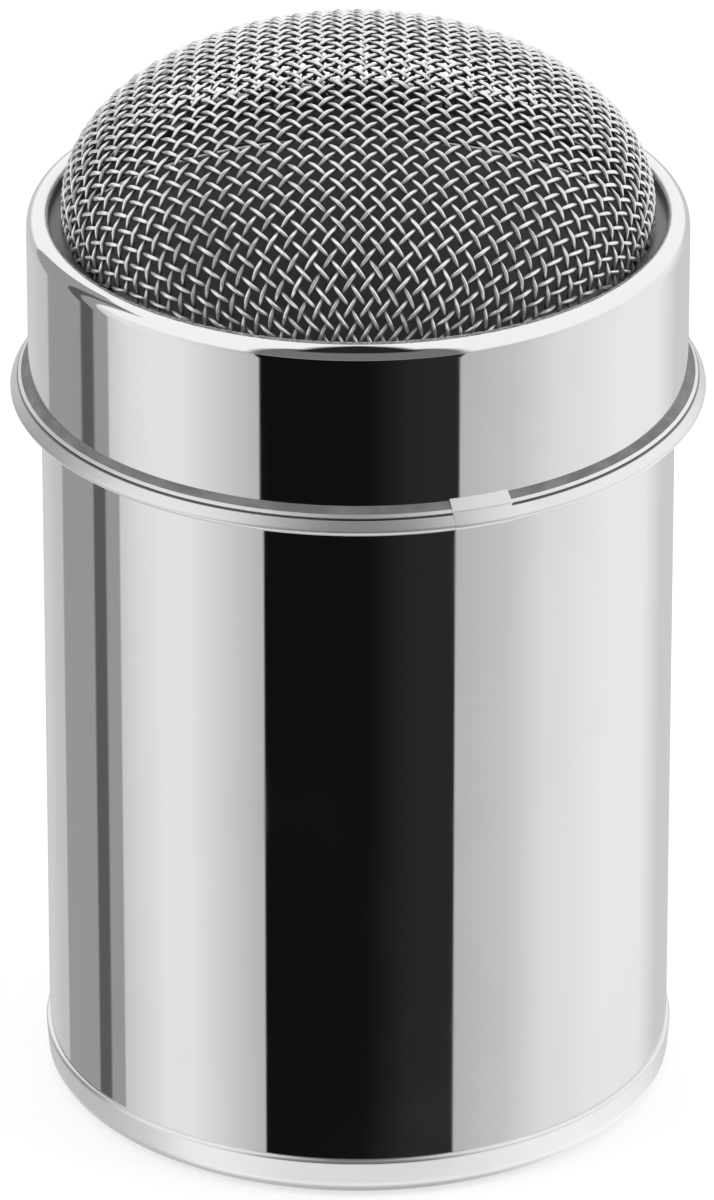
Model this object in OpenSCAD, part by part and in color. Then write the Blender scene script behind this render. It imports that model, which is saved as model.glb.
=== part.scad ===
// Flour shaker: a sheet-steel canister with a pull-off lid that carries a dome of woven wire.
// The axis is Z, the foot stands on z = 0, and the lap of the lid's bead faces front right.

/* [Canister] */
// Outer diameter of the canister wall
canister_d = 70; // [60:1:90]
// Height of the canister's mouth above the foot
mouth_h = 97.8; // [80:0.1:140]
// Thickness of the sheet that every pressed piece is made of
sheet_t = 0.5; // [0.4:0.1:0.6]
// Radius of the outward curl round the mouth
mouth_curl_r = 0.6; // [0.55:0.05:0.7]

/* [Base] */
// Height to which the base's rim wraps the foot of the wall
base_rim_h = 4.8; // [4:0.1:8]
// Thickness of that rim, which is ironed thinner than the sheet
base_rim_t = 0.4; // [0.3:0.05:0.6]
// How far the rim draws in on its way down to the foot
base_taper = 0.2; // [0.1:0.05:0.4]
// Outer radius of the rounded edge at the foot
foot_round_r = 2; // [1.6:0.1:2]
// Width of the flat ring that the sifter stands on
foot_w = 1.2; // [1:0.1:3]
// Height of the floor's underside above the foot
floor_lift = 1.5; // [1.5:0.1:2.2]

/* [Lid collar] */
// Gap between the canister's wall and the collar's bore
collar_gap = 0.9; // [0.9:0.1:1.2]
// Height of the collar, from the bead's lower edge to the top of the lip
collar_h = 21.4; // [20:0.1:30]
// How far the collar reaches above the canister's mouth
collar_above_mouth = 6.9; // [6.4:0.1:9]
// Radius of the lip's outer rounding
lip_round_r = 1.7; // [1.2:0.1:1.8]
// Radial width of the rolled lip
lip_w = 2.5; // [2.5:0.1:3]
// Height of the rolled lip
lip_h = 1.5; // [1.3:0.1:1.6]

/* [Bead band] */
// How far the band stands out from the collar
band_out = 2; // [1.8:0.1:2.4]
// Height of the band, from the roll's underside to the top of its slope
band_h = 2.8; // [2.6:0.1:3.4]
// Radius of the roll along the band's lower edge
band_roll_r = 0.5; // [0.4:0.05:0.6]
// How far the shoulder between slope and roll stands out from the collar
band_shoulder_out = 1.2; // [0.9:0.1:1.3]
// Drop from the top of the slope to the shoulder
band_slope_drop = 0.9; // [0.8:0.1:1.1]
// Thickness that the lap adds to the band
lap_t = 0.25; // [0.1:0.05:0.3]
// Angle that the lap covers
lap_angle = 10; // [6:1:14]
// Where the lap's middle lies, turned from the front (-Y) towards +X
lap_azimuth = 20.9; // [0:0.1:40]

/* [Mesh dome] */
// Gap between the lip's inner edge and the dome
dome_gap = 1.3; // [1.1:0.1:2.3]
// Rise of the dome above its straight foot
dome_rise = 18.1; // [14:0.1:24]
// Height of the straight foot above the hem
dome_foot_h = 2.3; // [1:0.1:4]
// Thickness of the woven cloth, two wires deep
cloth_t = 0.9; // [0.8:0.1:1.2]
// Thickness of the cloth's hem, which is pressed flat
hem_t = 0.7; // [0.5:0.1:0.8]
// Gaps along each side of the net, which is a coarse stand-in for the fine weave
net_count = 17; // [9:1:17]
// Width of the net's straps
strap_w = 0.9; // [0.6:0.1:1.2]

/* [Clamp ring] */
// Radial width of the ring's flange under the hem
clamp_flange_w = 2.4; // [2:0.1:2.8]
// Gap between the clamp ring and the canister's mouth with the lid on
mouth_gap = 0.2; // [0.1:0.1:0.4]
// Gap between the hem's edge and the collar's wall
hem_gap = 0.5; // [0.3:0.1:0.8]

/* [Hidden] */
$fn = 128;
steel = "silver";
cloth_grey = "gainsboro";

canister_r = canister_d / 2;
base_rim_r = canister_r + base_rim_t;
rim_shoulder_z = base_rim_h - base_rim_t;
foot_outer_r = base_rim_r - base_taper - foot_round_r;
foot_inner_r = foot_outer_r - foot_w;
floor_top = floor_lift + sheet_t;

collar_bore_r = canister_r + collar_gap;
collar_r = collar_bore_r + sheet_t;
collar_top = mouth_h + collar_above_mouth;
collar_bottom = collar_top - collar_h;
lip_inner_r = collar_r - lip_w;

hem_top = collar_top - lip_h;
hem_bottom = hem_top - hem_t;
hem_r = collar_bore_r - hem_gap;
dome_r = lip_inner_r - dome_gap;
dome_base = hem_top + dome_foot_h;

band_top = collar_bottom + band_h;
band_r = collar_r + band_out;

// A quarter disc in section, in the quarter named by its signs
module quarter_disc(r, sign_x, sign_y) {
  intersection() {
    circle(r = r);
    translate([sign_x > 0 ? 0 : -r, sign_y > 0 ? 0 : -r]) square(r);
  }
}

// A bend of sheet in section: a quarter ring between two radii
module sheet_bend(outer_r, inner_r, sign_x, sign_y) {
  difference() {
    quarter_disc(outer_r, sign_x, sign_y);
    circle(r = inner_r);
  }
}

// A rectangle in section from one corner to the opposite one
module section_box(from, to) {
  translate(from) square(to - from);
}

// Drawn tube with its mouth curled outward and its lower end drawn in with the base's rim
module canister_wall() {
  curl_centre = [canister_r - sheet_t + mouth_curl_r, mouth_h - mouth_curl_r];
  drawn_in = base_taper * (rim_shoulder_z - floor_top) / (rim_shoulder_z - foot_round_r);
  color(steel) rotate_extrude() {
    polygon([[canister_r - sheet_t - drawn_in, floor_top], [canister_r - drawn_in, floor_top],
             [canister_r, rim_shoulder_z], [canister_r, curl_centre[1]],
             [canister_r - sheet_t, curl_centre[1]],
             [canister_r - sheet_t, rim_shoulder_z]]);
    translate(curl_centre) circle(r = mouth_curl_r);
  }
}

// Pressed pan: raised floor, rounded foot, and a rim that tapers up round the foot of the wall
module canister_base() {
  inner_round_r = foot_round_r - base_rim_t;
  // The tapered rim reaches this far into the bends above and below it
  overlap = base_rim_t / 2;
  color(steel) rotate_extrude() {
    translate([canister_r, rim_shoulder_z]) quarter_disc(base_rim_t, 1, 1);
    polygon([[canister_r, rim_shoulder_z],
             [canister_r - base_taper, foot_round_r],
             [canister_r - base_taper + overlap, foot_round_r - overlap],
             [base_rim_r - base_taper, foot_round_r],
             [base_rim_r, rim_shoulder_z],
             [canister_r + overlap, rim_shoulder_z + overlap],
             [canister_r, rim_shoulder_z + overlap]]);
    translate([foot_outer_r, foot_round_r])
      sheet_bend(foot_round_r, inner_round_r, 1, -1);
    section_box([foot_inner_r, 0], [foot_outer_r, foot_round_r - inner_round_r]);
    section_box([foot_inner_r, 0], [foot_inner_r + sheet_t, floor_top]);
    section_box([0, floor_lift], [foot_inner_r + sheet_t, floor_top]);
  }
}

// Short ring whose top edge is rolled inward and down into the lip
module lid_collar() {
  color(steel) rotate_extrude() {
    section_box([collar_bore_r, collar_bottom], [collar_r, collar_top - lip_round_r]);
    translate([collar_r - lip_round_r, collar_top - lip_round_r])
      sheet_bend(lip_round_r, lip_round_r - sheet_t, 1, 1);
    section_box([lip_inner_r + sheet_t, collar_top - sheet_t],
                [collar_r - lip_round_r, collar_top]);
    translate([lip_inner_r + sheet_t, collar_top - sheet_t]) quarter_disc(sheet_t, -1, 1);
    section_box([lip_inner_r, hem_top], [lip_inner_r + sheet_t, collar_top - sheet_t]);
  }
}

// Section of the bead band, grown outward by an extra thickness: a slope, a shoulder, a steep
// face that runs tangent into the roll, and a flat underside
module band_section(extra) {
  roll_r = band_roll_r + extra;
  roll_centre = [band_r - band_roll_r, collar_bottom + band_roll_r];
  shoulder = [collar_r + band_shoulder_out, band_top - band_slope_drop]
             + extra * [cos(45), sin(45)];
  reach = shoulder - roll_centre;
  tangent_angle = atan2(reach[1], reach[0]) - acos(roll_r / norm(reach));
  polygon([[collar_r, collar_bottom], [roll_centre[0], collar_bottom], roll_centre,
           roll_centre + roll_r * [cos(tangent_angle), sin(tangent_angle)],
           shoulder, [collar_r, band_top + extra]]);
  intersection() {
    translate(roll_centre) circle(r = roll_r);
    section_box([collar_r, collar_bottom], [band_r + extra, band_top]);
  }
}

// Band round the collar's lower edge, thicker where its two ends lap
module lid_bead_band() {
  color(steel) {
    rotate_extrude() band_section(0);
    rotate([0, 0, lap_azimuth - 90 - lap_angle / 2])
      rotate_extrude(angle = lap_angle) band_section(lap_t);
  }
}

// ---- the net of the mesh dome ----

// Half of the dome's meridian, as pairs of length from the top and angle from the axis
meridian_steps = 60;
meridian_step = 90 / meridian_steps;
function meridian_piece(angle) =
  norm([dome_r * cos(angle), dome_rise * sin(angle)]) * meridian_step * PI / 180;
meridian = [for (i = 0, length = 0; i <= meridian_steps;
                 length = length + meridian_piece((i + 0.5) * meridian_step), i = i + 1)
            [length, i * meridian_step]];
meridian_length = meridian[meridian_steps][0];

// A point of the dome at depth in (0 outside, cloth_t inside) over a place in the unit disc
function dome_point(place, depth) =
  let (reach = min(norm(place), 1),
       angle = lookup(reach * meridian_length, meridian),
       around = atan2(place[1], place[0]),
       r = (dome_r - depth) * sin(angle))
  [r * cos(around), r * sin(around), dome_base + (dome_rise - depth) * cos(angle)];

// A place in the unit disc for a place in the square from -1 to 1, so that the cloth's square
// grid ends on the dome's round foot. The net is turned so that the wires run at 45 degrees.
function disc_place(u, v) =
  let (x = u * sqrt(1 - v * v / 2), y = v * sqrt(1 - u * u / 2))
  [(x - y) * sqrt(0.5), (x + y) * sqrt(0.5)];

function grid_value(i) = 2 * i / net_count - 1;

// Share of a cell's side that half a strap takes
strap_share = strap_w * net_count / (4 * meridian_length);

side_points = net_count + 1;
corner_count = side_points * side_points;
cell_count = net_count * net_count;
// The four corners of a cell or of its gap, counter-clockwise from above
cell_corners = [[0, 0], [1, 0], [1, 1], [0, 1]];

function net_corners(depth) =
  [for (j = [0 : net_count], i = [0 : net_count])
    dome_point(disc_place(grid_value(i), grid_value(j)), depth)];

function gap_corners(depth) =
  [for (j = [0 : net_count - 1], i = [0 : net_count - 1], corner = cell_corners)
    dome_point(disc_place(grid_value(i + abs(corner[0] - strap_share)),
                          grid_value(j + abs(corner[1] - strap_share))), depth)];

// The grid's border, counter-clockwise from above, as indices of its corners
border_count = 4 * net_count;
function border_index(k) =
  let (side = floor(k / net_count) % 4, along = k % net_count)
  side == 0 ? along :
  side == 1 ? along * side_points + net_count :
  side == 2 ? corner_count - 1 - along :
  (net_count - along) * side_points;

function border_ring(r, z) =
  [for (k = [0 : border_count - 1])
    let (i = border_index(k) % side_points,
         j = floor(border_index(k) / side_points),
         place = disc_place(grid_value(i), grid_value(j)))
    [r * place[0] / norm(place), r * place[1] / norm(place), z]];

// Faces of a quad, clockwise seen from outside, and of its back
function quad(a, b, c, d) = [[a, c, b], [a, d, c]];
function flip(faces) = [for (face = faces) [face[0], face[2], face[1]]];
function joined(lists) = [for (list = lists, item = list) item];

// Straps round every gap of one skin, whose points start at net_start and gap_start
function strap_faces(net_start, gap_start) =
  joined([for (j = [0 : net_count - 1], i = [0 : net_count - 1], k = [0 : 3])
    let (a = cell_corners[k],
         b = cell_corners[(k + 1) % 4],
         cell = gap_start + 4 * (j * net_count + i))
    quad(net_start + (j + a[1]) * side_points + i + a[0],
         net_start + (j + b[1]) * side_points + i + b[0],
         cell + (k + 1) % 4,
         cell + k)]);

// Walls of every gap, from the outer skin to the inner one
function gap_walls(outer_start, inner_start) =
  joined([for (cell = [0 : cell_count - 1], k = [0 : 3])
    quad(outer_start + 4 * cell + k,
         outer_start + 4 * cell + (k + 1) % 4,
         inner_start + 4 * cell + (k + 1) % 4,
         inner_start + 4 * cell + k)]);

// A strip between two rings of border_count points, each given by a function of k
function strip(lower, upper) =
  joined([for (k = [0 : border_count - 1])
    let (next = (k + 1) % border_count)
    quad(lower[k], lower[next], upper[next], upper[k])]);

function run(start) = [for (k = [0 : border_count - 1]) start + k];
function border_run(start) = [for (k = [0 : border_count - 1]) start + border_index(k)];

// Wire cloth pressed into a dome: an open net over the dome, a straight foot and a flat hem
module mesh_dome() {
  outer_net = 0;
  inner_net = outer_net + corner_count;
  outer_gaps = inner_net + corner_count;
  inner_gaps = outer_gaps + 4 * cell_count;
  outer_foot = inner_gaps + 4 * cell_count;
  inner_foot = outer_foot + border_count;
  hem_upper = inner_foot + border_count;
  hem_lower = hem_upper + border_count;
  points = concat(net_corners(0), net_corners(cloth_t), gap_corners(0), gap_corners(cloth_t),
                  border_ring(dome_r, hem_top), border_ring(dome_r - cloth_t, hem_bottom),
                  border_ring(hem_r, hem_top), border_ring(hem_r, hem_bottom));
  faces = concat(strap_faces(outer_net, outer_gaps),
                 flip(strap_faces(inner_net, inner_gaps)),
                 gap_walls(outer_gaps, inner_gaps),
                 strip(run(outer_foot), border_run(outer_net)),
                 flip(strip(run(inner_foot), border_run(inner_net))),
                 strip(run(hem_upper), run(outer_foot)),
                 flip(strip(run(hem_lower), run(inner_foot))),
                 strip(run(hem_lower), run(hem_upper)));
  color(cloth_grey) polyhedron(points, faces);
}

// Ring pressed up into the collar: its flange pinches the hem, its skirt stops the mouth
module mesh_clamp_ring() {
  skirt_bottom = mouth_h + mouth_gap;
  color(steel) rotate_extrude() {
    section_box([collar_bore_r - clamp_flange_w, hem_bottom - sheet_t],
                [collar_bore_r, hem_bottom]);
    section_box([collar_bore_r - sheet_t, skirt_bottom], [collar_bore_r, hem_bottom]);
  }
}

canister_wall();
canister_base();
lid_collar();
lid_bead_band();
mesh_dome();
mesh_clamp_ring();
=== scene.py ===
# %% [markdown]
# A flour shaker: a plain canister of polished sheet steel, and a pull-off lid that holds a dome of
# woven wire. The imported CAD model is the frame. It gives every size, and the pieces made here take
# the place of its solids where a mirror finish or a real weave needs a finer mesh.

# %% load the frame
import math

import bmesh
import bpy
from mathutils import Matrix, Vector


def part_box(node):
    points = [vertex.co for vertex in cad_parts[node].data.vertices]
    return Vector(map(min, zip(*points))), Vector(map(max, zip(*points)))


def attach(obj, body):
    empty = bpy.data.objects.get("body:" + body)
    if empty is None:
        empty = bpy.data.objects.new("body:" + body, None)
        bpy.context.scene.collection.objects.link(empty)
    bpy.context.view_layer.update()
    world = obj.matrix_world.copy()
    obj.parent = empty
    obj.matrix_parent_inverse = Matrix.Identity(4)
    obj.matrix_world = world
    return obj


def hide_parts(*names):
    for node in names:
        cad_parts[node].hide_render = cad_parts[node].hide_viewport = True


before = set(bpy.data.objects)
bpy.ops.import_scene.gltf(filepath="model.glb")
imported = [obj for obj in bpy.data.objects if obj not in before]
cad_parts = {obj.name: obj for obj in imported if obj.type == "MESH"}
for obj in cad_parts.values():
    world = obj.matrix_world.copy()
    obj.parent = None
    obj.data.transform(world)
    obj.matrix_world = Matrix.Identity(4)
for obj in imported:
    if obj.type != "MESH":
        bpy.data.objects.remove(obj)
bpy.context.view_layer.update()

# %% [markdown]
# The photograph's camera was a long way off and a little above the lid. A long lens keeps the wall
# of the canister almost straight, as the photograph shows it. Distance, angle and focal length
# were found by fitting the outlines of the wall, the lid and the foot to the picture.

# %% camera
MM = 0.001
PHOTO_WIDTH_PX = 714
FOCAL_LENGTH_PX = 10758
SENSOR_WIDTH = 36
SIGHT_LIMIT = 20
CAMERA_DISTANCE = 1.2
CAMERA_ELEVATION = math.radians(26.61)
AIM_AT = Vector((-0.13, 0, 56.6)) * MM


def add_camera():
    lens = bpy.data.cameras.new("photo_camera")
    lens.sensor_fit = "HORIZONTAL"
    lens.sensor_width = SENSOR_WIDTH
    lens.lens = SENSOR_WIDTH * FOCAL_LENGTH_PX / PHOTO_WIDTH_PX
    lens.clip_end = SIGHT_LIMIT
    camera = bpy.data.objects.new("photo_camera", lens)
    towards_camera = Vector((0, -math.cos(CAMERA_ELEVATION), math.sin(CAMERA_ELEVATION)))
    camera.location = AIM_AT + CAMERA_DISTANCE * towards_camera
    camera.rotation_euler = towards_camera.to_track_quat("Z", "Y").to_euler()
    bpy.context.scene.collection.objects.link(camera)
    bpy.context.scene.camera = camera
    return camera


camera = add_camera()
print("lens of", round(camera.data.lens), "mm at", CAMERA_DISTANCE, "m")

# %% [markdown]
# Node trees are long to write by hand, so a few small helpers do it. One adds a node and sets its
# inputs, one does arithmetic, and one makes a soft-edged band, which is 1 between two values.


# %% node helpers
def add_node(tree, kind, inputs=None, **settings):
    node = tree.nodes.new(kind)
    for name, value in settings.items():
        setattr(node, name, value)
    for name, value in (inputs or {}).items():
        connect(tree, value, node.inputs[name])
    return node


def connect(tree, value, socket):
    if isinstance(value, bpy.types.NodeSocket):
        tree.links.new(value, socket)
    else:
        socket.default_value = value


def calculate(tree, operation, first, second=0.0):
    node = add_node(tree, "ShaderNodeMath", {0: first, 1: second}, operation=operation)
    return node.outputs["Value"]


def remap(tree, value, source, target, smooth=True):
    node = add_node(tree, "ShaderNodeMapRange",
                    {"Value": value, "From Min": source[0], "From Max": source[1],
                     "To Min": target[0], "To Max": target[1]},
                    interpolation_type="SMOOTHSTEP" if smooth else "LINEAR")
    return node.outputs["Result"]


def band(tree, value, low, high, softness):
    rise = remap(tree, value, (low - softness, low + softness), (0, 1))
    fall = remap(tree, value, (high - softness, high + softness), (1, 0))
    return calculate(tree, "MULTIPLY", rise, fall)


def blend_value(tree, mask, below, above):
    node = add_node(tree, "ShaderNodeMix", {"Factor": mask, "A": below, "B": above})
    return node.outputs["Result"]


print("node helpers ready")

# %% [markdown]
# Polished steel has no look of its own: it shows the room. The photograph's room is a white sweep
# with a black card under the camera, a grey card with a dark gap at the left, a dark flap overhead
# and a white table below. The room could be built from planes, but each would have to be aimed.
# Painted on the world by angle, a card lies exactly where the steel shows it.

# %% the room that the steel shows
BLACK_CARD = 0.006
BLACK_CARD_WORN_SIDE = 0.024
BLACK_CARD_WORN_FROM = (0, 24)
BLACK_CARD_WIDTH = (-34.4, 35.4)
BLACK_CARD_HEIGHT = (-31, -4)
FLAP_DARK = 0.02
FLAP_HEIGHT = (50, 114)
FLAP_NARROWING = 0.27
WHITE_ABOVE = 1.1
ABOVE_EDGE = (-2, 10)
TABLE_WHITE = 1.25
TABLE_EDGE = (-34, -31)
TABLE_UNDERNEATH = 0.5
UNDERNEATH_EDGE = (-75, -42)

# Cards in the order in which they hang: brightness, azimuths, elevations and softness, in degrees
CARDS = [
    (0.60, (-150, -80), (-90, -31), 6),      # the table's left side
    (0.37, (-137.5, -97), (-31, 45), 0.6),   # the grey card
    (0.12, (-112.6, -105), (-31, 45), 0.9),  # the dark gap in it
    (0.35, (174, 200), (-31, 5), 0.9),       # the gap behind, up to the seam
    (0.35, (-200, -174), (-31, 5), 0.9),     # the gap behind, past the seam
    (0.20, (-36, 36), (-4, 64), 3),          # above the black card
]

# Brightness of the white sweep against the azimuth from the camera, in degrees, right positive
SWEEP = [(-180, 0.62), (-158, 0.68), (-138, 0.63), (-96, 0.76), (-86, 0.96), (-64, 0.94),
         (-36, 0.58), (38, 0.58), (56, 0.68), (72, 0.87), (104, 1.0), (128, 0.98),
         (146, 0.70), (180, 0.60)]


def room_angles(tree):
    """Azimuth and elevation of a ray, and its angle over the top and to the side, in degrees."""
    direction = add_node(tree, "ShaderNodeTexCoord").outputs["Generated"]
    split = add_node(tree, "ShaderNodeSeparateXYZ", {"Vector": direction})
    x, y, z = split.outputs
    towards_camera = calculate(tree, "MULTIPLY", y, -1.0)

    def degrees(value):
        return calculate(tree, "DEGREES", value)

    azimuth = degrees(calculate(tree, "ARCTAN2", x, towards_camera))
    elevation = degrees(calculate(tree, "ARCSINE", z))
    over_top = degrees(calculate(tree, "ARCTAN2", z, towards_camera))
    sideways = degrees(calculate(tree, "ARCSINE", x))
    return azimuth, elevation, over_top, sideways


def sweep_brightness(tree, azimuth):
    place = remap(tree, azimuth, (-180, 180), (0, 1), smooth=False)
    ramp = add_node(tree, "ShaderNodeValToRGB", {"Fac": place})
    stops = ramp.color_ramp.elements
    stops.remove(stops[1])
    for index, (angle, brightness) in enumerate(SWEEP):
        position = (angle + 180) / 360
        stop = stops.new(position) if index else stops[0]
        stop.position = position
        stop.color = (brightness, brightness, brightness, 1)
    return calculate(tree, "MULTIPLY", ramp.outputs["Color"], 1.0)


def hang_card(tree, room, across, up, brightness, softness):
    """Change the room's brightness inside two ranges, each given as (angle, low, high)."""
    mask = calculate(tree, "MULTIPLY", band(tree, *across, softness),
                     band(tree, *up, 2 * softness))
    return blend_value(tree, mask, room, brightness)


def hang_flap(tree, room, over_top, sideways):
    """A dark flap over the shaker, which narrows towards its far end."""
    to_far_end = calculate(tree, "SUBTRACT", FLAP_HEIGHT[1], over_top)
    half_width = calculate(tree, "MULTIPLY", to_far_end, FLAP_NARROWING)
    inside = calculate(tree, "SUBTRACT", half_width, calculate(tree, "ABSOLUTE", sideways))
    mask = calculate(tree, "MULTIPLY", remap(tree, inside, (-2, 2), (0, 1)),
                     band(tree, over_top, *FLAP_HEIGHT, 3))
    return blend_value(tree, mask, room, FLAP_DARK)


def reflected_room(tree):
    azimuth, elevation, over_top, sideways = room_angles(tree)
    room = sweep_brightness(tree, azimuth)
    above = remap(tree, elevation, ABOVE_EDGE, (0, 1))
    room = blend_value(tree, above, room, WHITE_ABOVE)
    table = remap(tree, elevation, TABLE_EDGE, (1, 0))
    room = blend_value(tree, table, room, TABLE_WHITE)
    underneath = remap(tree, elevation, UNDERNEATH_EDGE, (1, 0))
    room = blend_value(tree, underneath, room, TABLE_UNDERNEATH)
    for brightness, azimuths, elevations, softness in CARDS:
        room = hang_card(tree, room, (azimuth, *azimuths), (elevation, *elevations),
                         brightness, softness)
    room = hang_flap(tree, room, over_top, sideways)
    worn = remap(tree, azimuth, BLACK_CARD_WORN_FROM, (BLACK_CARD, BLACK_CARD_WORN_SIDE))
    return hang_card(tree, room, (azimuth, *BLACK_CARD_WIDTH), (elevation, *BLACK_CARD_HEIGHT),
                     worn, 0.5)


print("room described by", len(SWEEP), "stops and", len(CARDS) + 2, "cards")

# %% [markdown]
# Only reflected rays see the painted room. To the camera the world is plain white, and everything
# else is lit by an even pale grey, so that the cards don't cast their own light on the floor.

# %% world
EVEN_LIGHT = 0.8


def build_world():
    world = bpy.data.worlds.new("white_studio")
    world.use_nodes = True
    tree = world.node_tree
    tree.nodes.clear()
    ray = add_node(tree, "ShaderNodeLightPath").outputs
    glow = add_node(tree, "ShaderNodeBackground", {"Color": (1, 1, 1, 1), "Strength": EVEN_LIGHT})
    sight = add_node(tree, "ShaderNodeBackground", {"Color": (1, 1, 1, 1), "Strength": 1.0})
    mirror_room = add_node(tree, "ShaderNodeBackground", {"Color": reflected_room(tree)})
    seen_in_steel = add_node(tree, "ShaderNodeMixShader",
                             {0: ray["Is Glossy Ray"], 1: glow.outputs[0],
                              2: mirror_room.outputs[0]})
    everything = add_node(tree, "ShaderNodeMixShader",
                          {0: ray["Is Camera Ray"], 1: seen_in_steel.outputs[0],
                           2: sight.outputs[0]})
    add_node(tree, "ShaderNodeOutputWorld", {"Surface": everything.outputs[0]})
    bpy.context.scene.world = world


build_world()
bpy.context.scene.view_settings.view_transform = "Standard"
print("world lights evenly at", EVEN_LIGHT)

# %% [markdown]
# The floor is a pale plane that the camera sees as white, and it keeps a soft shadow: most of its
# white is lit, and a little is its own. It is left out of reflections, because the painted room
# already holds the table. Two soft lamps give the wires and the shadow a direction.

# %% floor and lamps
FLOOR_SIZE = 3.0
FLOOR_GREY = 0.78
FLOOR_OWN_WHITE = 0.40
LAMP_SIZE = (0.6, 0.8)
LAMP_POWER = 2.0


def add_floor():
    shape = bmesh.new()
    bmesh.ops.create_grid(shape, x_segments=1, y_segments=1, size=FLOOR_SIZE)
    mesh = bpy.data.meshes.new("floor")
    shape.to_mesh(mesh)
    shape.free()
    floor = bpy.data.objects.new("floor", mesh)
    bpy.context.scene.collection.objects.link(floor)
    floor.visible_glossy = False
    material = bpy.data.materials.new("pale_floor")
    material.use_nodes = True
    tree = material.node_tree
    tree.nodes.clear()
    grey = (FLOOR_GREY, FLOOR_GREY, FLOOR_GREY, 1)
    lit = add_node(tree, "ShaderNodeBsdfDiffuse", {"Color": grey})
    ray = add_node(tree, "ShaderNodeLightPath").outputs
    own = calculate(tree, "MULTIPLY", ray["Is Camera Ray"], FLOOR_OWN_WHITE)
    white = add_node(tree, "ShaderNodeEmission", {"Strength": own})
    both = add_node(tree, "ShaderNodeAddShader", {0: lit.outputs[0], 1: white.outputs[0]})
    add_node(tree, "ShaderNodeOutputMaterial", {"Surface": both.outputs[0]})
    mesh.materials.append(material)


def add_softbox(name, place):
    light = bpy.data.lights.new(name, "AREA")
    light.shape = "RECTANGLE"
    light.size, light.size_y = LAMP_SIZE
    light.energy = LAMP_POWER
    lamp = bpy.data.objects.new(name, light)
    lamp.location = place
    lamp.rotation_euler = Vector(place).to_track_quat("Z", "Y").to_euler()
    lamp.visible_glossy = False
    bpy.context.scene.collection.objects.link(lamp)


add_floor()
add_softbox("left_softbox", (-0.9, -0.35, 0.8))
add_softbox("right_softbox", (0.95, -0.2, 0.75))
print("floor and two softboxes placed")

# %% [markdown]
# Every sheet piece is turned: its section is drawn once and spun round the axis. A mirror finish
# shows each mistake in the shading, so a straight run gets a helper point near both ends, which
# keeps the smooth normals flat between them, and a bend gets points of its own.

# %% section helpers
TURN_STEPS = 256
SHARP_ANGLE = math.radians(40)
HELPER_GAP = 0.08 * MM
MERGE_GAP = 0.001 * MM
BORE_TAPER = 0.6 * MM
BORE_SLACK = 0.05 * MM


def bend(centre, radius, start, end, steps=10):
    angles = [math.radians(start + (end - start) * k / steps) for k in range(steps + 1)]
    return [(centre[0] + radius * math.cos(a), centre[1] + radius * math.sin(a)) for a in angles]


def run(start, end):
    share = min(HELPER_GAP / math.dist(start, end), 0.25)
    return [(start[0] + (end[0] - start[0]) * t, start[1] + (end[1] - start[1]) * t)
            for t in (0, share, 1 - share, 1)]


def turn_section(section, angle=2 * math.pi, steps=TURN_STEPS, closed=True):
    shape = bmesh.new()
    corners = [shape.verts.new((r, 0, z)) for r, z in section]
    following = corners[1:] + corners[:1] if closed else corners[1:]
    edges = [shape.edges.new(pair) for pair in zip(corners, following) if pair[0] != pair[1]]
    bmesh.ops.spin(shape, geom=corners + edges, cent=(0, 0, 0), axis=(0, 0, 1), angle=angle,
                   steps=steps, use_merge=angle >= 2 * math.pi)
    bmesh.ops.remove_doubles(shape, verts=shape.verts, dist=MERGE_GAP)
    bmesh.ops.recalc_face_normals(shape, faces=shape.faces)
    return shape


def dull_bore(shape, bore_r):
    """Give the faces of a bore the piece's second material, the dull one, whose darker colour is
    partly painted shade.
    """
    for face in shape.faces:
        middle = face.calc_center_median()
        inward = middle.x * face.normal.x + middle.y * face.normal.y < 0
        if inward and bore_r - BORE_TAPER < middle.xy.length < bore_r + BORE_SLACK:
            face.material_index = 1


def finish_mesh(name, mesh, body, replaced, slot, materials):
    mesh.shade_smooth()
    mesh.set_sharp_from_angle(angle=SHARP_ANGLE)
    for material in materials:
        mesh.materials.append(material)
    piece = bpy.data.objects.new(name, mesh)
    bpy.context.scene.collection.objects.link(piece)
    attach(piece, body)
    if replaced:
        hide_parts(replaced)
    print(name, "has", len(mesh.polygons), "faces")


def finish_piece(name, shape, *facts):
    mesh = bpy.data.meshes.new(name)
    shape.to_mesh(mesh)
    shape.free()
    finish_mesh(name, mesh, *facts)


print("section helpers ready, with", TURN_STEPS, "steps a turn")

# %% [markdown]
# The finish of polished sheet: nearly a mirror, with faint rings left by the polishing wheel, soft
# smudges from hands, and hairline scratches. One group makes all three from the object's own
# coordinates, and each steel uses it with its own strengths.

# %% polished sheet finish
WHEEL_STRETCH = (8, 8, 2600)


def add_group_sockets(group, inputs, outputs):
    for name, value in inputs.items():
        socket = group.interface.new_socket(name, in_out="INPUT", socket_type="NodeSocketFloat")
        socket.default_value = value
    for name in outputs:
        group.interface.new_socket(name, in_out="OUTPUT", socket_type="NodeSocketFloat")
    entry = group.nodes.new("NodeGroupInput").outputs
    leave = group.nodes.new("NodeGroupOutput").inputs
    return entry, leave


def stretched_noise(tree, stretch, scale, detail, turned=(0, 0, 0)):
    place = add_node(tree, "ShaderNodeTexCoord").outputs["Object"]
    mapped = add_node(tree, "ShaderNodeMapping",
                      {"Vector": place, "Rotation": turned, "Scale": stretch})
    noise = add_node(tree, "ShaderNodeTexNoise",
                     {"Vector": mapped.outputs["Vector"], "Scale": scale, "Detail": detail,
                      "Roughness": 0.6})
    return noise.outputs["Fac"]


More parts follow.
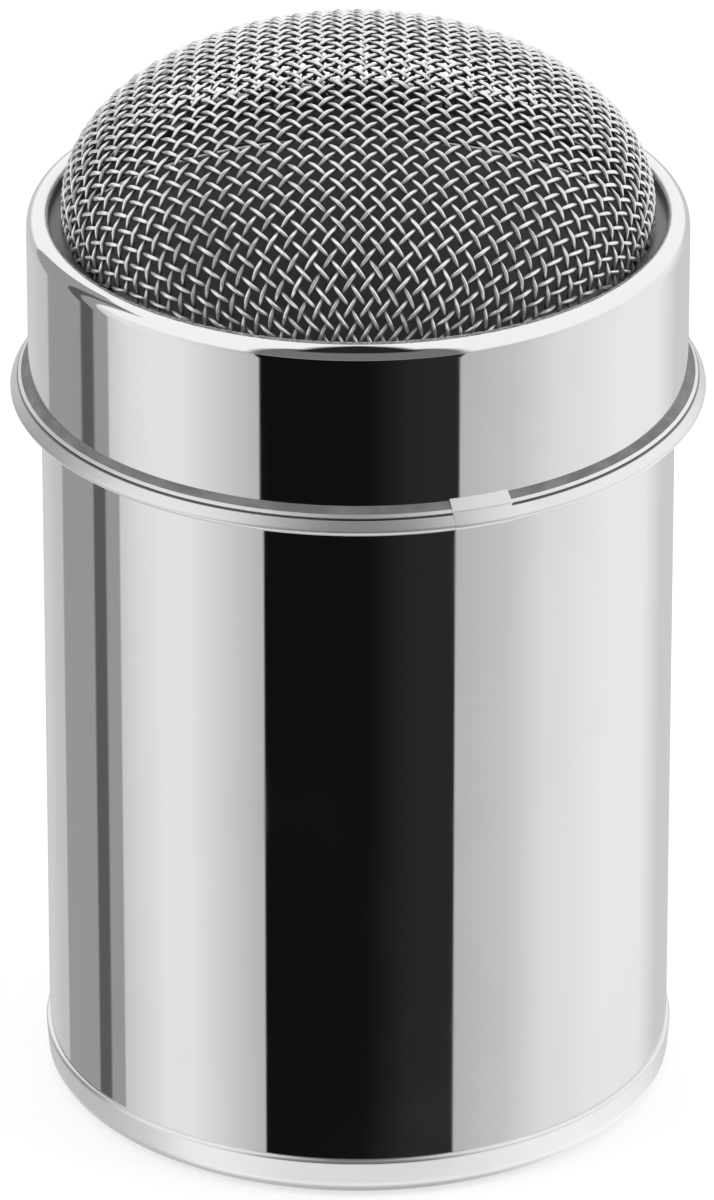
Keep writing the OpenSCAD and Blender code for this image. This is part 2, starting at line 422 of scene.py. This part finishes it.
def sheet_finish_group():
    group = bpy.data.node_groups.new("sheet_finish", "ShaderNodeTree")
    entry, leave = add_group_sockets(
        group,
        {"Base roughness": 0.03, "Smudges": 0.03, "Rings": 0.01, "Scratches": 0.04},
        ["Roughness", "Height", "Tone"])
    hands = remap(group, stretched_noise(group, (1, 1, 1), 42, 3), (0.45, 0.75), (0, 1))
    wheel = stretched_noise(group, WHEEL_STRETCH, 1, 2)
    hairs = stretched_noise(group, (90, 90, 2600), 1, 3, (0.5, 0.2, 0.3))
    hairlines = remap(group, hairs, (0.70, 0.78), (0, 1))
    rough = entry["Base roughness"]
    for mask, strength in ((hands, "Smudges"), (wheel, "Rings"), (hairlines, "Scratches")):
        rough = calculate(group, "ADD", rough, calculate(group, "MULTIPLY", mask, entry[strength]))
    connect(group, rough, leave["Roughness"])
    height = calculate(group, "SUBTRACT", calculate(group, "MULTIPLY", wheel, 0.25), hairlines)
    connect(group, height, leave["Height"])
    connect(group, remap(group, hands, (0, 1), (1.0, 0.975), smooth=False), leave["Tone"])
    return group


SHEET_FINISH = sheet_finish_group()


def place_finish(tree, roughness, smudges, rings, scratches):
    """Put the group into a material's tree, with this material's own strengths."""
    finish = add_node(tree, "ShaderNodeGroup", node_tree=SHEET_FINISH)
    for label, value in (("Base roughness", roughness), ("Smudges", smudges),
                         ("Rings", rings), ("Scratches", scratches)):
        finish.inputs[label].default_value = value
    return finish


def polished_sheet(name, steel, roughness, smudges, rings, scratches, relief, metallic=1.0):
    material = bpy.data.materials.new(name)
    material.use_nodes = True
    tree = material.node_tree
    tree.nodes.clear()
    finish = place_finish(tree, roughness, smudges, rings, scratches)
    colour = add_node(tree, "ShaderNodeVectorMath",
                      {0: steel, "Scale": finish.outputs["Tone"]}, operation="SCALE")
    bump = add_node(tree, "ShaderNodeBump",
                    {"Height": finish.outputs["Height"], "Strength": 1.0, "Distance": relief})
    shader = add_node(tree, "ShaderNodeBsdfPrincipled",
                      {"Base Color": colour.outputs["Vector"], "Metallic": metallic,
                       "Roughness": finish.outputs["Roughness"],
                       "Normal": bump.outputs["Normal"]})
    add_node(tree, "ShaderNodeOutputMaterial", {"Surface": shader.outputs[0]})
    return material


BRIGHT_STEEL = (0.80, 0.795, 0.785)
GROOVE_SHADE_STEEL = (0.20, 0.198, 0.195)
SHADED_STEEL = (0.16, 0.158, 0.155)
MILL_AND_SHADE_STEEL = (0.46, 0.453, 0.442)
canister_polish = polished_sheet("canister_polish", BRIGHT_STEEL, roughness=0.025, smudges=0.03,
                                 rings=0.01, scratches=0.05, relief=2e-8)
lid_polish = polished_sheet("lid_polish", BRIGHT_STEEL, roughness=0.03, smudges=0.04,
                            rings=0.015, scratches=0.06, relief=3e-8)
lip_satin = polished_sheet("lip_satin", BRIGHT_STEEL, roughness=0.18, smudges=0.06,
                           rings=0.05, scratches=0.08, relief=2e-7)
band_satin = polished_sheet("band_satin", BRIGHT_STEEL, roughness=0.36, smudges=0.06,
                            rings=0.05, scratches=0.08, relief=2e-7)
base_satin = polished_sheet("base_satin", BRIGHT_STEEL, roughness=0.30, smudges=0.06,
                            rings=0.03, scratches=0.08, relief=1e-7)
# The groove under the band's shoulder is painted dark, a painted shade.
groove_painted_shade = polished_sheet("groove_painted_shade", GROOVE_SHADE_STEEL, roughness=0.22, smudges=0.10,
                             rings=0.05, scratches=0.0, relief=2e-7)
# The lip's inner side and the hem lie in the trough beside the mesh and are painted dark, a painted
# shade.
trough_painted_shade = polished_sheet("trough_painted_shade", SHADED_STEEL, roughness=0.3, smudges=0.10,
                             rings=0.05, scratches=0.0, relief=4e-7)
# Dull mill finish for the insides; its darker colour is partly painted shade, standing in for the
# shade inside the shaker.
mill_and_shade_finish = polished_sheet("mill_and_shade_finish", MILL_AND_SHADE_STEEL, roughness=0.16, smudges=0.08,
                             rings=0.05, scratches=0.08, relief=4e-7, metallic=0.6)
print("sheet finishes made")

# %% [markdown]
# The canister's wall is a drawn tube. Its outside is polished and its inside is left with the dull
# finish of the mill, and that inside is also painted darker, a painted shade, which is why the
# shaker looks dark through the mesh. The mouth is curled outward, so that no raw edge faces the
# flour or the hand.

# %% canister wall
SHEET = 0.5 * MM
WALL_R = 35.0 * MM
CURL_R = 0.6 * MM
WALL_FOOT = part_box("canister_wall")[0].z
MOUTH_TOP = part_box("canister_wall")[1].z
RIM_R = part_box("canister_base")[1].x
RIM_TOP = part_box("canister_base")[1].z
RIM_T = RIM_R - WALL_R
RIM_SHOULDER = RIM_TOP - RIM_T
BASE_TAPER = 0.2 * MM
FOOT_ROUND_R = 2.0 * MM


def canister_wall():
    bore_r = WALL_R - SHEET
    curl_centre = (bore_r + CURL_R, MOUTH_TOP - CURL_R)
    meet = math.acos((WALL_R - curl_centre[0]) / CURL_R)
    drawn_in = BASE_TAPER * (RIM_SHOULDER - WALL_FOOT) / (RIM_SHOULDER - FOOT_ROUND_R)
    section = run((WALL_R - drawn_in, WALL_FOOT), (WALL_R, RIM_SHOULDER))[:-1]
    section += run((WALL_R, RIM_SHOULDER), (WALL_R, curl_centre[1] - CURL_R * math.sin(meet)))
    section += bend(curl_centre, CURL_R, -math.degrees(meet), 180, 20)
    section += run((bore_r, curl_centre[1] - MERGE_GAP), (bore_r, RIM_SHOULDER))[:-1]
    section += run((bore_r, RIM_SHOULDER), (bore_r - drawn_in, WALL_FOOT))
    shape = turn_section(section)
    dull_bore(shape, bore_r)
    finish_piece("canister_wall_drawn", shape, "canister", "canister_wall",
                 "canister_steel", [canister_polish, mill_and_shade_finish])


canister_wall()

# %% [markdown]
# The base is a pressed pan whose rim wraps the foot of the wall. Seen from the side, the rim
# starts with a small round step, and below it the sheet draws in towards the foot. That slant
# makes the rim reflect the bright table instead of the black card.

# %% canister base
FOOT_OUTER_R = RIM_R - BASE_TAPER - FOOT_ROUND_R
FOOT_RING_W = 1.2 * MM
FOOT_INNER_R = FOOT_OUTER_R - FOOT_RING_W
FLOOR_LIFT = 1.5 * MM
RISER_ROUND_R = 0.4 * MM
FACING_UP = 0.5
RIM_LEAN = math.degrees(math.atan2(BASE_TAPER, RIM_SHOULDER - FOOT_ROUND_R))


def canister_base():
    inner_round = FOOT_ROUND_R - RIM_T
    floor_top = FLOOR_LIFT + SHEET
    riser_r = FOOT_INNER_R + SHEET
    foot_centre = (FOOT_OUTER_R, FOOT_ROUND_R)
    section = run((0, FLOOR_LIFT), (FOOT_INNER_R - RISER_ROUND_R, FLOOR_LIFT))
    section += bend((FOOT_INNER_R - RISER_ROUND_R, FLOOR_LIFT - RISER_ROUND_R), RISER_ROUND_R,
                    90, 0, 6)
    section += bend((FOOT_INNER_R + RISER_ROUND_R, RISER_ROUND_R), RISER_ROUND_R, 180, 270, 6)
    foot_bend = bend(foot_centre, FOOT_ROUND_R, -90, -RIM_LEAN, 14)
    step_bend = bend((WALL_R, RIM_SHOULDER), RIM_T, -RIM_LEAN, 90, 10)
    section += foot_bend + run(foot_bend[-1], step_bend[0])[1:-1] + step_bend
    section += [(WALL_R, RIM_SHOULDER), (WALL_R - BASE_TAPER, FOOT_ROUND_R)]
    section += bend(foot_centre, inner_round, 0, -90, 10)[1:]
    section += [(riser_r, RIM_T), (riser_r, floor_top - RISER_ROUND_R)]
    section += bend((riser_r - RISER_ROUND_R, floor_top - RISER_ROUND_R), RISER_ROUND_R, 0, 90, 6)
    section += [(0, floor_top)]
    shape = turn_section(section, closed=False)
    # The pan's inner floor takes the dull mill finish, whose darker colour is partly painted shade.
    for face in shape.faces:
        middle = face.calc_center_median()
        if face.normal.z > FACING_UP and middle.xy.length < riser_r:
            face.material_index = 1
    finish_piece("canister_base_pressed", shape, "canister", "canister_base",
                 "base_steel", [base_satin, mill_and_shade_finish])


canister_base()

# %% [markdown]
# The collar of the lid is a short ring. Its top edge is rolled inward and down into a round lip,
# which gives the bright ring round the mesh. The polishing wheel runs over the outside. The top of
# the lip is only satin, and its inner side is painted dark, a painted shade, down in the trough
# beside the mesh. One turned section gives the whole ring, and its faces take their finish by where
# they lie.

# %% lid collar
COLLAR_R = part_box("lid_collar")[1].x
COLLAR_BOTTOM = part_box("lid_collar")[0].z
COLLAR_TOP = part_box("lid_collar")[1].z
LIP_ROUND_R = 1.7 * MM
LIP_W = 2.5 * MM
LIP_H = 1.5 * MM
LIP_LIT_H = 0.25 * MM
LIP_INNER_ROUND_R = 0.8 * MM


def lid_collar():
    bore_r = COLLAR_R - SHEET
    lip_inner_r = COLLAR_R - LIP_W
    lip_centre = (COLLAR_R - LIP_ROUND_R, COLLAR_TOP - LIP_ROUND_R)
    edge_centre = (lip_inner_r + LIP_INNER_ROUND_R, COLLAR_TOP - LIP_INNER_ROUND_R)
    lip_foot = COLLAR_TOP - LIP_H
    section = run((COLLAR_R, COLLAR_BOTTOM), (COLLAR_R, lip_centre[1]))
    section += bend(lip_centre, LIP_ROUND_R, 0, 90, 16)
    section += bend(edge_centre, LIP_INNER_ROUND_R, 90, 180, 10)
    section += run((lip_inner_r, edge_centre[1]), (lip_inner_r, lip_foot))
    section += run((lip_inner_r + SHEET, lip_foot), (lip_inner_r + SHEET, COLLAR_TOP - SHEET))
    section += bend(lip_centre, LIP_ROUND_R - SHEET, 90, 0, 8)
    section += run((bore_r, lip_centre[1]), (bore_r, COLLAR_BOTTOM))
    shape = turn_section(section)
    dull_bore(shape, bore_r)
    # Faces inside the lip: satin on top, and painted shade lower down in the trough.
    for face in shape.faces:
        middle = face.calc_center_median()
        if middle.xy.length < lip_centre[0]:
            face.material_index = 2 if middle.z > edge_centre[1] + LIP_LIT_H else 3
    finish_piece("lid_collar_rolled", shape, "lid", "lid_collar", "lid_steel",
                 [lid_polish, mill_and_shade_finish, lip_satin, trough_painted_shade])


lid_collar()

# %% [markdown]
# The band round the collar's lower edge has a slope at the top, a narrow groove below its shoulder,
# a steep face and a tight roll. The corner over the slope is painted a patchy dark grey, a painted
# shade, and the groove is painted dark, a painted shade too.

# %% painted shade in the corner
CORNER_SHADE_DARK = (0.17, 0.168, 0.165, 1)
CORNER_SHADE_PALE = (0.24, 0.238, 0.232, 1)
CORNER_SHADE_RELIEF = 1e-5


# Patchy dark grey painted into the corner over the slope, a painted shade.
def corner_painted_shade():
    material = bpy.data.materials.new("corner_painted_shade")
    material.use_nodes = True
    tree = material.node_tree
    tree.nodes.clear()
    patches = remap(tree, stretched_noise(tree, (1, 1, 3), 220, 4), (0.35, 0.65), (0, 1))
    colour = add_node(tree, "ShaderNodeMix", {"Factor": patches, "A": CORNER_SHADE_DARK,
                                              "B": CORNER_SHADE_PALE}, data_type="RGBA")
    streaks = stretched_noise(tree, WHEEL_STRETCH, 1, 2)
    bump = add_node(tree, "ShaderNodeBump", {"Height": streaks, "Strength": 1.0,
                                             "Distance": CORNER_SHADE_RELIEF})
    shader = add_node(tree, "ShaderNodeBsdfPrincipled",
                      {"Base Color": colour.outputs["Result"], "Metallic": 0.2,
                       "Roughness": 0.5, "Normal": bump.outputs["Normal"]})
    add_node(tree, "ShaderNodeOutputMaterial", {"Surface": shader.outputs[0]})
    return material


band_corner_shade = corner_painted_shade()
print("corner residue made")

# %% bead band
BAND_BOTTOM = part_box("lid_bead_band")[0].z
BAND_OUT = 2.0 * MM
BAND_R = COLLAR_R + BAND_OUT
BAND_H = 2.8 * MM
BAND_TOP = BAND_BOTTOM + BAND_H
ROLL_R = 0.5 * MM
ROLL_CENTRE = (BAND_R - ROLL_R, BAND_BOTTOM + ROLL_R)
SLOPE_END = (COLLAR_R + 0.8 * MM, BAND_TOP - 0.65 * MM)
SHOULDER = (COLLAR_R + 1.13 * MM, BAND_TOP - 0.9 * MM)
GROOVE = (COLLAR_R + 1.09 * MM, BAND_TOP - 1.12 * MM)
FACE_TOP = (COLLAR_R + 1.28 * MM, BAND_TOP - 1.2 * MM)
FACE_LEAN = 36.0


def roll(extra=0.0):
    return bend(ROLL_CENTRE, ROLL_R + extra, -90, FACE_LEAN, 16)


def lid_bead_band():
    section = [(COLLAR_R, BAND_BOTTOM)] + roll()
    section += run(section[-1], FACE_TOP)[1:] + [GROOVE] + run(SHOULDER, SLOPE_END)
    section += run(SLOPE_END, (COLLAR_R, BAND_TOP))[1:]
    shape = turn_section(section)
    # The groove's faces take painted shade, and the faces over the slope take the corner's painted
    # shade.
    for face in shape.faces:
        middle = face.calc_center_median()
        if FACE_TOP[1] < middle.z < SHOULDER[1] and middle.xy.length < FACE_TOP[0]:
            face.material_index = 2
        elif middle.z > SLOPE_END[1]:
            face.material_index = 1
    finish_piece("lid_bead_band_rolled", shape, "lid", "lid_bead_band", "band_steel",
                 [band_satin, band_corner_shade, groove_painted_shade])


lid_bead_band()

# %% [markdown]
# The band's two ends lap at the front right. The outer end shows as two thin leaves, one over the
# slope and one round the roll, with a flat facet between them. Each leaf is turned through the few
# degrees that the lap covers.

# %% lap of the band
LAP_AZIMUTH = 20.9
LAP_ANGLE = 10.0
SLOPE_LEAF_T = 0.2 * MM
SLOPE_LEAF_FOOT = BAND_TOP - 1.3 * MM
SLOPE_LEAF_EDGE = 0.12 * MM
SLOPE_LEAF_BEND = 0.1 * MM
ROLL_LEAF_T = 0.14 * MM
ROLL_LEAF_FOOT = BAND_BOTTOM + 0.05 * MM
FACET_T = 0.02 * MM
FACET_EDGE = 0.04 * MM


def lap_leaf(name, section, extra_angle=0.0):
    angle = LAP_ANGLE + extra_angle
    shape = turn_section(section, angle=math.radians(angle), steps=16)
    bmesh.ops.holes_fill(shape, edges=[edge for edge in shape.edges if edge.is_boundary])
    start = math.radians(LAP_AZIMUTH - 90 - angle / 2)
    bmesh.ops.rotate(shape, verts=shape.verts, cent=(0, 0, 0),
                     matrix=Matrix.Rotation(start, 3, "Z"))
    bmesh.ops.recalc_face_normals(shape, faces=shape.faces)
    finish_piece(name, shape, "lid", None, "band_steel", [band_satin])


def bead_lap():
    slope_leaf = [(COLLAR_R, SLOPE_LEAF_FOOT), (SHOULDER[0], SLOPE_LEAF_FOOT),
                  (SHOULDER[0] + SLOPE_LEAF_EDGE, SHOULDER[1]),
                  (SHOULDER[0] + SLOPE_LEAF_BEND, SHOULDER[1] + SLOPE_LEAF_EDGE),
                  (COLLAR_R, BAND_TOP + SLOPE_LEAF_T)]
    facet = [(COLLAR_R, ROLL_CENTRE[1]), ROLL_CENTRE, roll(FACET_T)[-1],
             (SHOULDER[0] + FACET_EDGE, SHOULDER[1]), (COLLAR_R, SHOULDER[1])]
    round_roll = [point for point in roll(ROLL_LEAF_T) if point[1] > ROLL_LEAF_FOOT]
    roll_leaf = [(COLLAR_R, ROLL_LEAF_FOOT)] + round_roll + [ROLL_CENTRE]
    lap_leaf("lap_leaf_over_slope", slope_leaf, 0.5)
    lap_leaf("lap_facet", facet, 0.2)
    lap_leaf("lap_leaf_round_roll", roll_leaf)


bead_lap()

# %% [markdown]
# The clamp ring is pushed up inside the collar. It pinches the hem of the mesh against the lip,
# and the canister's mouth stops against its skirt. It shows only when the lid is off and turned
# over.

# %% clamp ring
RING_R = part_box("mesh_clamp_ring")[1].x
RING_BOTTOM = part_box("mesh_clamp_ring")[0].z
RING_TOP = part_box("mesh_clamp_ring")[1].z
FLANGE_W = 2.4 * MM


def mesh_clamp_ring():
    flange_foot = RING_TOP - SHEET
    skirt_r = RING_R - SHEET
    section = run((RING_R, RING_BOTTOM), (RING_R, flange_foot))
    section += bend((skirt_r, flange_foot), SHEET, 0, 90, 8)
    section += run((skirt_r - MERGE_GAP, RING_TOP), (RING_R - FLANGE_W, RING_TOP))
    section += run((RING_R - FLANGE_W, flange_foot), (skirt_r - RISER_ROUND_R, flange_foot))
    section += bend((skirt_r - RISER_ROUND_R, flange_foot - RISER_ROUND_R), RISER_ROUND_R,
                    90, 0, 6)
    section += run((skirt_r, flange_foot - RISER_ROUND_R), (skirt_r, RING_BOTTOM))
    finish_piece("mesh_clamp_ring_pressed", turn_section(section), "lid",
                 "mesh_clamp_ring", "clamp_ring_steel", [mill_and_shade_finish])


mesh_clamp_ring()

# %% [markdown]
# Wire cloth drapes over a dome without stretching: its wires keep their length and their spacing,
# and only the angle between them changes. So the mesh is square at the top and pulled into
# lozenges at the rim, where it meets the dome on the bias. The crossings are worked out the same
# way. Two wires run straight down from the top, and every other crossing lies one pitch from two
# known ones.

# %% crossings of the wire cloth
PITCH = 1.65 * MM
WIRE_R = 0.21 * MM
CLOTH_T = 4 * WIRE_R
HEM_TOP = COLLAR_TOP - LIP_H
HEM_BOTTOM = RING_TOP
DOME_OUTER_R = 32.6 * MM
DOME_R = DOME_OUTER_R - CLOTH_T / 2
DOME_FOOT = 105.5 * MM
DOME_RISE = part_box("mesh_dome")[1].z - DOME_FOOT - CLOTH_T / 2
SOLVER_STEPS = 8


def dome_side(point):
    """How far outside the dome a point lies, 0 on it, and the slope of that value there."""
    rise = max(point.z - DOME_FOOT, 0)
    outside = point.xy.length_squared / DOME_R ** 2 + (rise / DOME_RISE) ** 2 - 1
    slope = Vector((point.x / DOME_R ** 2, point.y / DOME_R ** 2, rise / DOME_RISE ** 2)) * 2
    return outside, slope


def crossing_near(guess, neighbour, second=None, wire_plane=None):
    """A place on the dome, one pitch from a neighbour, and from a second or in a wire's plane."""
    # Newton's method: the misses are divided by their slopes until nothing is left of them
    place = guess.copy()
    for _ in range(SOLVER_STEPS):
        outside, slope = dome_side(place)
        reach = place - neighbour
        rows = [slope, 2 * reach]
        misses = [outside, reach.length_squared - PITCH ** 2]
        if second is not None:
            other = place - second
            rows.append(2 * other)
            misses.append(other.length_squared - PITCH ** 2)
        else:
            rows.append(wire_plane)
            misses.append(wire_plane.dot(place))
        place = place - Matrix(rows).inverted() @ Vector(misses)
    return place


def quarter_of_crossings():
    top = Vector((0, 0, DOME_FOOT + DOME_RISE))
    back_right = Vector((1, 1, 0)).normalized()
    back_left = Vector((-1, 1, 0)).normalized()
    found = {(0, 0): top}
    for along, across, key in ((back_right, back_left, (1, 0)), (back_left, back_right, (0, 1))):
        last, step, k = top, along * PITCH, 0
        while last.z > HEM_BOTTOM:
            k += 1
            here = crossing_near(last + step, last, wire_plane=across)
            found[k * key[0], k * key[1]] = here
            last, step = here, here - last
    reach = max(i for i, _ in found)
    for i in range(1, reach + 1):
        for j in range(1, reach + 1):
            known = [found.get(key) for key in ((i - 1, j), (i, j - 1), (i - 1, j - 1))]
            if None not in known and min(known[0].z, known[1].z) > HEM_BOTTOM:
                guess = known[0] + known[1] - known[2]
                found[i, j] = crossing_near(guess, known[0], second=known[1])
    return found


def all_crossings():
    """The quarter at the back, turned to all four sides."""
    crossings = {}
    for (i, j), place in quarter_of_crossings().items():
        for _ in range(4):
            crossings[i, j] = place
            i, j = -j, i
            place = Vector((-place.y, place.x, place.z))
    return crossings


CROSSINGS = all_crossings()
print(len(CROSSINGS), "crossings,", 2 * max(i for i, _ in CROSSINGS) + 1, "wires each way")

# %% [markdown]
# Plain weave: each wire goes over one and under the next, and the wires across it do the opposite.
# A wire is a curve with round thickness, which swings outward and inward by its own radius, so
# that it touches the wires it crosses. The curves are made into meshes, and the ends go into the
# hem.

# %% woven wires
POINTS_PER_PITCH = 4
WIRE_BEVEL_STEPS = 2
WIRE_END_GAP = 0.15 * MM


def wire_path(stations, side):
    """Points of one wire through its crossings, starting on the given side (1 is outside)."""
    path = []
    for here, there in zip(stations, stations[1:]):
        for step in range(POINTS_PER_PITCH):
            share = step / POINTS_PER_PITCH
            place = here.lerp(there, share)
            outward = dome_side(place)[1].normalized()
            path.append(place + outward * side * WIRE_R * math.cos(math.pi * share))
        side = -side
    return [place for place in path if place.z > HEM_BOTTOM + WIRE_END_GAP]


def weave(name, index_of_wire, index_along, first_side):
    curve = bpy.data.curves.new(name, "CURVE")
    curve.dimensions = "3D"
    curve.bevel_depth = WIRE_R
    curve.bevel_resolution = WIRE_BEVEL_STEPS
    curve.use_fill_caps = True
    for wire in sorted({key[index_of_wire] for key in CROSSINGS}):
        keys = sorted((key for key in CROSSINGS if key[index_of_wire] == wire),
                      key=lambda key: key[index_along])
        side = first_side * (-1) ** (keys[0][0] + keys[0][1])
        path = wire_path([CROSSINGS[key] for key in keys], side)
        if len(path) < POINTS_PER_PITCH:
            continue
        spline = curve.splines.new("POLY")
        spline.points.add(len(path) - 1)
        for point, place in zip(spline.points, path):
            point.co = (*place, 1)
    shaped = bpy.data.objects.new(name, curve)
    bpy.context.scene.collection.objects.link(shaped)
    depsgraph = bpy.context.evaluated_depsgraph_get()
    mesh = bpy.data.meshes.new_from_object(shaped.evaluated_get(depsgraph))
    bpy.data.objects.remove(shaped)
    mesh.name = name
    mesh.materials.clear()
    return mesh


print("wires of", round(2 * WIRE_R / MM, 2), "mm at a pitch of", round(PITCH / MM, 2), "mm")

# %% [markdown]
# A bright wire is white where it arches over its neighbours and dark where it dives under them,
# because down there it only sees the shadow inside the shaker. The depth below the cloth's middle
# comes from the dome's own equation, so the shade stays with the cloth from every side.

# %% wire finish
WIRE_STEEL = (0.89, 0.89, 0.88)
WIRE_SHADE = 0.10
WIRE_SHADE_HEIGHT = (-0.2, 0.9)


def height_in_cloth(tree):
    """How far a place lies outside the middle of the cloth, in wire radii."""
    place = add_node(tree, "ShaderNodeTexCoord").outputs["Object"]
    x, y, z = add_node(tree, "ShaderNodeSeparateXYZ", {"Vector": place}).outputs
    rise = calculate(tree, "MAXIMUM", calculate(tree, "SUBTRACT", z, DOME_FOOT), 0.0)
    x2, y2, rise2 = (calculate(tree, "MULTIPLY", value, value) for value in (x, y, rise))
    flat2 = calculate(tree, "DIVIDE", calculate(tree, "ADD", x2, y2), DOME_R ** 2)
    tall2 = calculate(tree, "DIVIDE", rise2, DOME_RISE ** 2)
    outside = calculate(tree, "SUBTRACT", calculate(tree, "ADD", flat2, tall2), 1.0)
    slope2 = calculate(tree, "ADD", calculate(tree, "DIVIDE", flat2, DOME_R ** 2),
                       calculate(tree, "DIVIDE", tall2, DOME_RISE ** 2))
    slope = calculate(tree, "MULTIPLY", calculate(tree, "SQRT", slope2), 2 * WIRE_R)
    return calculate(tree, "DIVIDE", outside, slope)


def woven_wire():
    material = bpy.data.materials.new("woven_wire")
    material.use_nodes = True
    tree = material.node_tree
    tree.nodes.clear()
    over = remap(tree, height_in_cloth(tree), WIRE_SHADE_HEIGHT, (WIRE_SHADE, 1))
    finish = place_finish(tree, roughness=0.3, smudges=0.06, rings=0.0, scratches=0.0)
    shade = calculate(tree, "MULTIPLY", over, finish.outputs["Tone"])
    colour = add_node(tree, "ShaderNodeVectorMath", {0: WIRE_STEEL, "Scale": shade},
                      operation="SCALE")
    shader = add_node(tree, "ShaderNodeBsdfPrincipled",
                      {"Base Color": colour.outputs["Vector"], "Metallic": 0.8,
                       "Roughness": finish.outputs["Roughness"]})
    add_node(tree, "ShaderNodeOutputMaterial", {"Surface": shader.outputs[0]})
    return material


wire_steel = woven_wire()
print("wire finish made")

# %% [markdown]
# One mesh holds all the wires of one direction. The two directions start on opposite sides of the
# cloth, so that a wire is on top exactly where the one across it is below.

# %% weave both ways
finish_mesh("warp_wires", weave("warp_wires", 0, 1, 1), "lid", "mesh_dome", "wire_cloth",
            [wire_steel])
finish_mesh("weft_wires", weave("weft_wires", 1, 0, -1), "lid", "mesh_dome", "wire_cloth",
            [wire_steel])

# %% [markdown]
# The hem is the flat edge of the cloth, pinched between the lip and the clamp ring. Only a narrow
# strip of it shows, in the shade at the foot of the dome, so a plain ring painted dark, a painted
# shade, stands for it.


# %% hem of the cloth
def mesh_hem():
    inner_r = DOME_R - CLOTH_T / 2
    hem_r = RING_R - SHEET
    section = run((inner_r, HEM_BOTTOM), (hem_r, HEM_BOTTOM))
    section += run((hem_r, HEM_TOP), (inner_r, HEM_TOP))
    finish_piece("mesh_hem", turn_section(section), "lid", None, "wire_cloth",
                 [trough_painted_shade])


mesh_hem()
